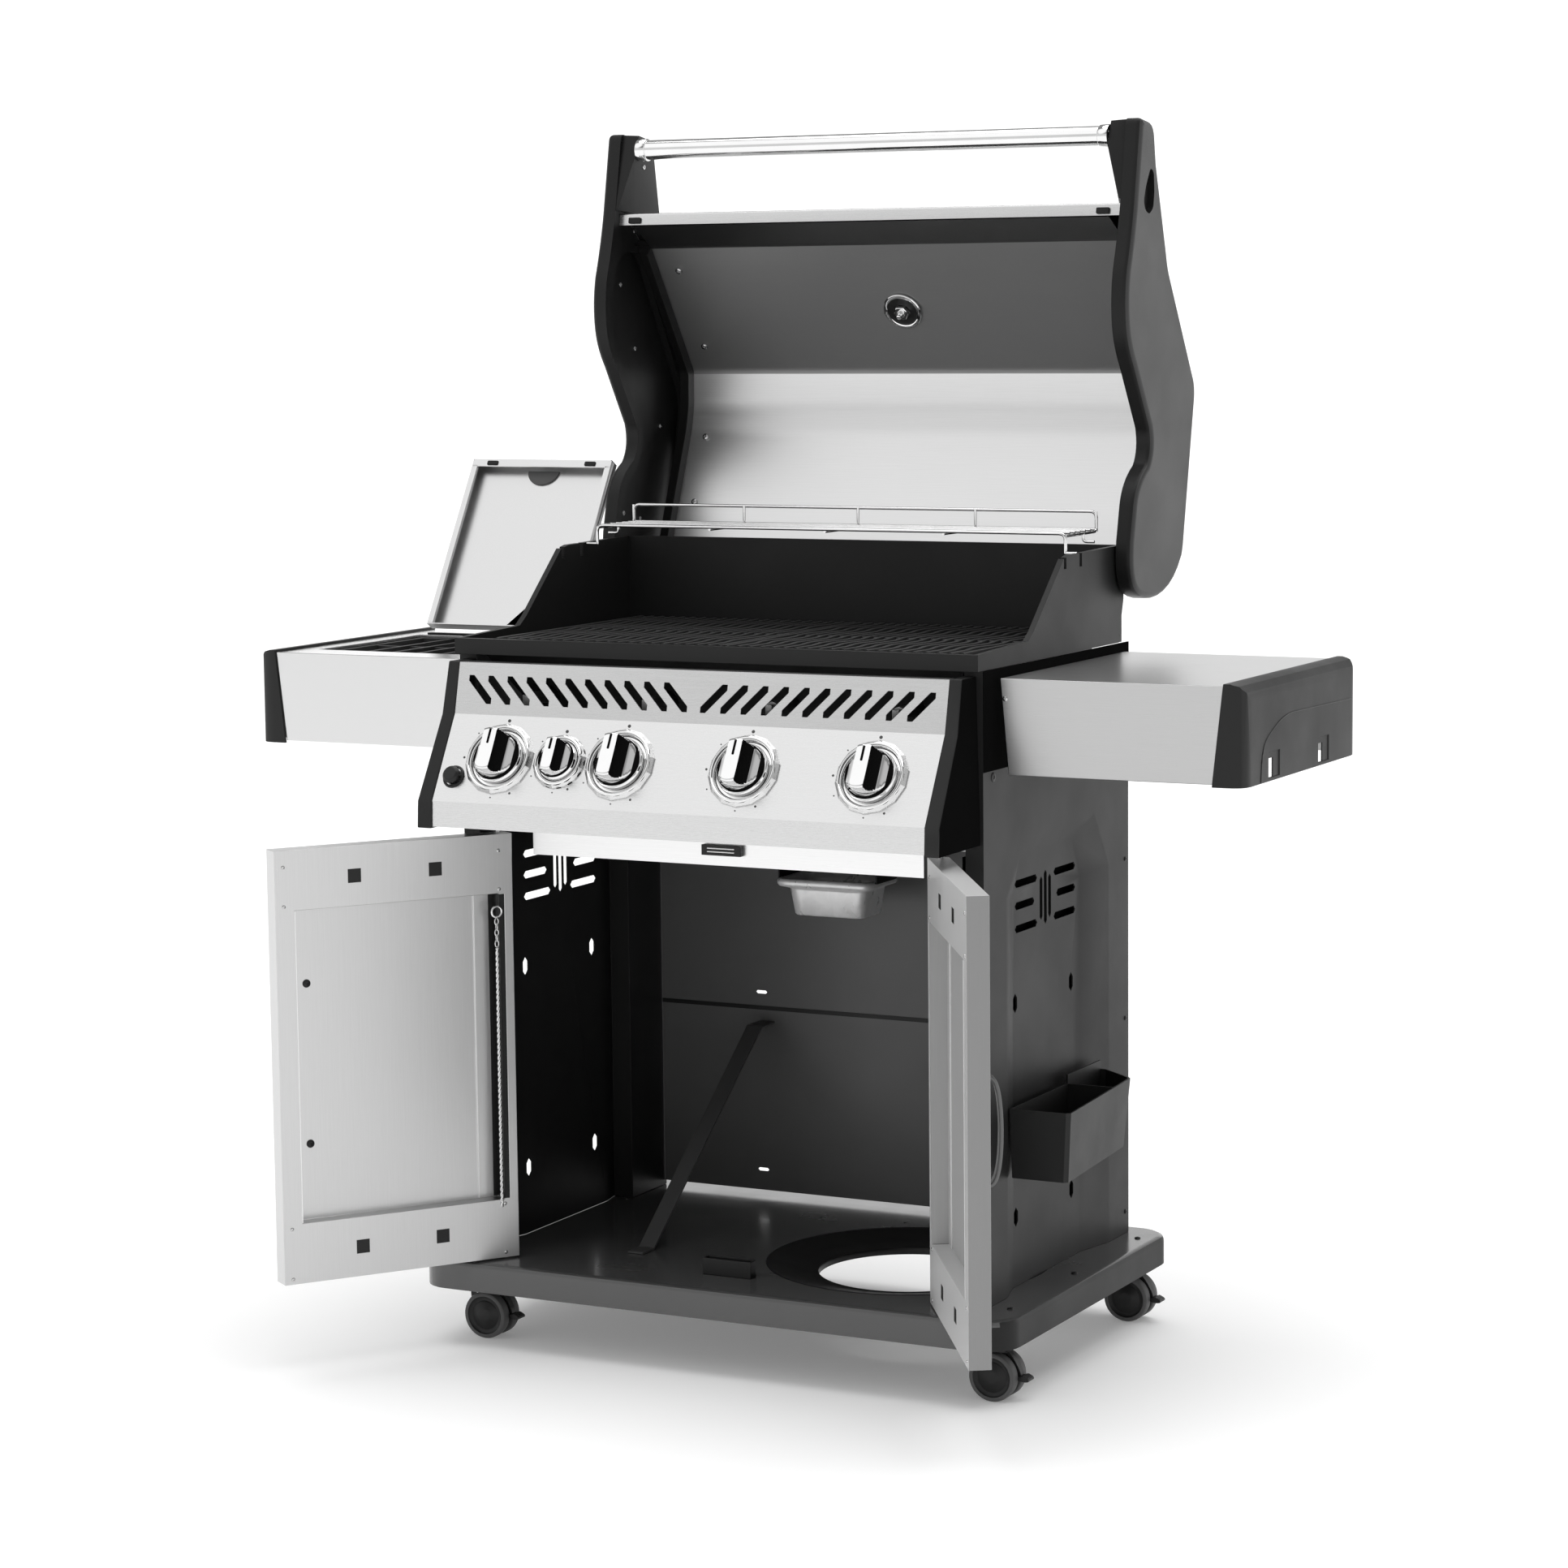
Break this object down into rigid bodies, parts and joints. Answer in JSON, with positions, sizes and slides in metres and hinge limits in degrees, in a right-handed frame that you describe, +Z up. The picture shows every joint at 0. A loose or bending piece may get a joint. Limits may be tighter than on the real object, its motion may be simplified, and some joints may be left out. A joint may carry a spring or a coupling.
{
  "type": "gas barbecue grill",
  "caption": "Gas barbecue on a swivel-caster cart with an open lid, side shelves, a side burner under a flip cover, sloped control panel and a two-door cabinet.",
  "frame": {"origin": "on the floor under the middle of the whole object with its lid and doors open", "axes": "+Z up, +X to the user's right when facing the controls, -Y towards the user"},
  "size_m": [1.448, 0.9466, 1.6363],
  "materials": {
    "brushed_steel": "brushed",
    "polished_steel": "polished",
    "burner_steel": "satin",
    "charcoal_paint": "satin",
    "charcoal_casting": "satin dark paint",
    "black_casting": "black paint",
    "black_paint": "satin",
    "black_enamel": "satin",
    "black_cast_iron": "matt",
    "dark_plastic": "fine texture",
    "caster_tyre": "matt",
    "foil": "bright"
  },
  "bodies": {
    "cart": {"base_shelf": "charcoal_paint", "side_panel_left": "charcoal_paint", "side_panel_right": "charcoal_paint", "back_panel_lower": "charcoal_paint", "back_panel_upper": "charcoal_paint", "front_rail": "brushed_steel", "door_catch_upper": "dark_plastic", "door_catch_lower": "dark_plastic", "cylinder_brace": "charcoal_paint", "firebox": "black_casting", "burner_1": "burner_steel", "burner_2": "burner_steel", "burner_3": "burner_steel", "burner_4": "burner_steel", "flame_plate_1": "burner_steel", "flame_plate_2": "burner_steel", "flame_plate_3": "burner_steel", "flame_plate_4": "burner_steel", "cooking_grate_left": "black_cast_iron", "cooking_grate_right": "black_cast_iron", "warming_rack": "polished_steel", "gas_manifold": "burner_steel", "control_panel": "brushed_steel", "panel_cap_left": "dark_plastic", "panel_cap_right": "dark_plastic", "left_shelf": "brushed_steel", "left_shelf_cap": "dark_plastic", "side_burner": "black_cast_iron", "side_burner_grate": "black_cast_iron", "condiment_bin": "dark_plastic"},
    "lid": {"lid_skin": "brushed_steel", "lid_liner": "brushed_steel", "lid_casting_left": "charcoal_casting", "lid_casting_right": "charcoal_casting", "lid_handle": "polished_steel", "lid_thermometer": "polished_steel"},
    "left_door": {"door_left": "brushed_steel", "door_handle_left": "polished_steel", "lighting_rod": "burner_steel"},
    "right_door": {"door_right": "brushed_steel", "door_handle_right": "polished_steel"},
    "burner_cover": {"side_burner_lid": "brushed_steel"},
    "folding_shelf": {"right_shelf": "brushed_steel", "right_shelf_cap": "dark_plastic"},
    "grease_drawer": {"grease_tray": "black_enamel", "drip_pan": "foil"},
    "igniter": {"ignition_button": "dark_plastic"},
    "knob_burner_1": {"knob_burner_1": "polished_steel"},
    "knob_side_burner": {"knob_side_burner": "polished_steel"},
    "knob_burner_2": {"knob_burner_2": "polished_steel"},
    "knob_burner_3": {"knob_burner_3": "polished_steel"},
    "knob_burner_4": {"knob_burner_4": "polished_steel"},
    "caster_front_left": {"caster_fork_front_left": "black_paint"},
    "wheels_front_left": {"caster_wheels_front_left": "caster_tyre"},
    "caster_front_right": {"caster_fork_front_right": "black_paint"},
    "wheels_front_right": {"caster_wheels_front_right": "caster_tyre"},
    "caster_rear_left": {"caster_fork_rear_left": "black_paint"},
    "wheels_rear_left": {"caster_wheels_rear_left": "caster_tyre"},
    "caster_rear_right": {"caster_fork_rear_right": "black_paint"},
    "wheels_rear_right": {"caster_wheels_rear_right": "caster_tyre"}
  },
  "joints": [
    {"name": "lid_hinge", "type": "hinge", "parent": "cart", "child": "lid", "pos_m": [0, 0.2545, 1.04], "axis": [1, 0, 0], "range_deg": [0, 100]},
    {"name": "left_door_hinge", "type": "hinge", "parent": "cart", "child": "left_door", "pos_m": [-0.3275, -0.1971, 0.42], "axis": [0, 0, 1], "range_deg": [0, 125]},
    {"name": "right_door_hinge", "type": "hinge", "parent": "cart", "child": "right_door", "pos_m": [0.3275, -0.1971, 0.42], "axis": [0, 0, -1], "range_deg": [0, 123]},
    {"name": "burner_cover_hinge", "type": "hinge", "parent": "cart", "child": "burner_cover", "pos_m": [-0.5395, 0.1625, 0.938], "axis": [1, 0, 0], "range_deg": [0, 120.9]},
    {"name": "shelf_fold", "type": "hinge", "parent": "cart", "child": "folding_shelf", "pos_m": [0.405, 0.033, 0.808], "axis": [0, 1, 0], "range_deg": [0, 90]},
    {"name": "grease_tray_slide", "type": "slide", "parent": "cart", "child": "grease_drawer", "axis": [0, -1, 0], "range_m": [0, 0.16]},
    {"name": "igniter_push", "type": "slide", "parent": "cart", "child": "igniter", "axis": [0, 0.8744, -0.4852], "range_m": [0, 0.005], "stiffness_N_per_m": 400},
    {"name": "knob_burner_1_turn", "type": "hinge", "parent": "cart", "child": "knob_burner_1", "pos_m": [-0.271, -0.28, 0.807], "axis": [0, -0.8744, 0.4852], "range_deg": [0, 210]},
    {"name": "knob_side_burner_turn", "type": "hinge", "parent": "cart", "child": "knob_side_burner", "pos_m": [-0.1805, -0.28, 0.807], "axis": [0, -0.8744, 0.4852], "range_deg": [0, 210]},
    {"name": "knob_burner_2_turn", "type": "hinge", "parent": "cart", "child": "knob_burner_2", "pos_m": [-0.0905, -0.28, 0.807], "axis": [0, -0.8744, 0.4852], "range_deg": [0, 210]},
    {"name": "knob_burner_3_turn", "type": "hinge", "parent": "cart", "child": "knob_burner_3", "pos_m": [0.0905, -0.28, 0.807], "axis": [0, -0.8744, 0.4852], "range_deg": [0, 210]},
    {"name": "knob_burner_4_turn", "type": "hinge", "parent": "cart", "child": "knob_burner_4", "pos_m": [0.271, -0.28, 0.807], "axis": [0, -0.8744, 0.4852], "range_deg": [0, 210]},
    {"name": "caster_front_left_swivel", "type": "hinge", "parent": "cart", "child": "caster_front_left", "pos_m": [-0.378, -0.1755, 0.07], "axis": [0, 0, 1], "continuous": true},
    {"name": "caster_front_left_roll", "type": "hinge", "parent": "caster_front_left", "child": "wheels_front_left", "pos_m": [-0.365, -0.1755, 0.032], "axis": [0, 1, 0], "continuous": true},
    {"name": "caster_front_right_swivel", "type": "hinge", "parent": "cart", "child": "caster_front_right", "pos_m": [0.378, -0.1755, 0.07], "axis": [0, 0, 1], "continuous": true},
    {"name": "caster_front_right_roll", "type": "hinge", "parent": "caster_front_right", "child": "wheels_front_right", "pos_m": [0.391, -0.1755, 0.032], "axis": [0, 1, 0], "continuous": true},
    {"name": "caster_rear_left_swivel", "type": "hinge", "parent": "cart", "child": "caster_rear_left", "pos_m": [-0.378, 0.2725, 0.07], "axis": [0, 0, 1], "continuous": true},
    {"name": "caster_rear_left_roll", "type": "hinge", "parent": "caster_rear_left", "child": "wheels_rear_left", "pos_m": [-0.365, 0.2725, 0.032], "axis": [0, 1, 0], "continuous": true},
    {"name": "caster_rear_right_swivel", "type": "hinge", "parent": "cart", "child": "caster_rear_right", "pos_m": [0.378, 0.2725, 0.07], "axis": [0, 0, 1], "continuous": true},
    {"name": "caster_rear_right_roll", "type": "hinge", "parent": "caster_rear_right", "child": "wheels_rear_right", "pos_m": [0.391, 0.2725, 0.032], "axis": [0, 1, 0], "continuous": true}
  ]
}
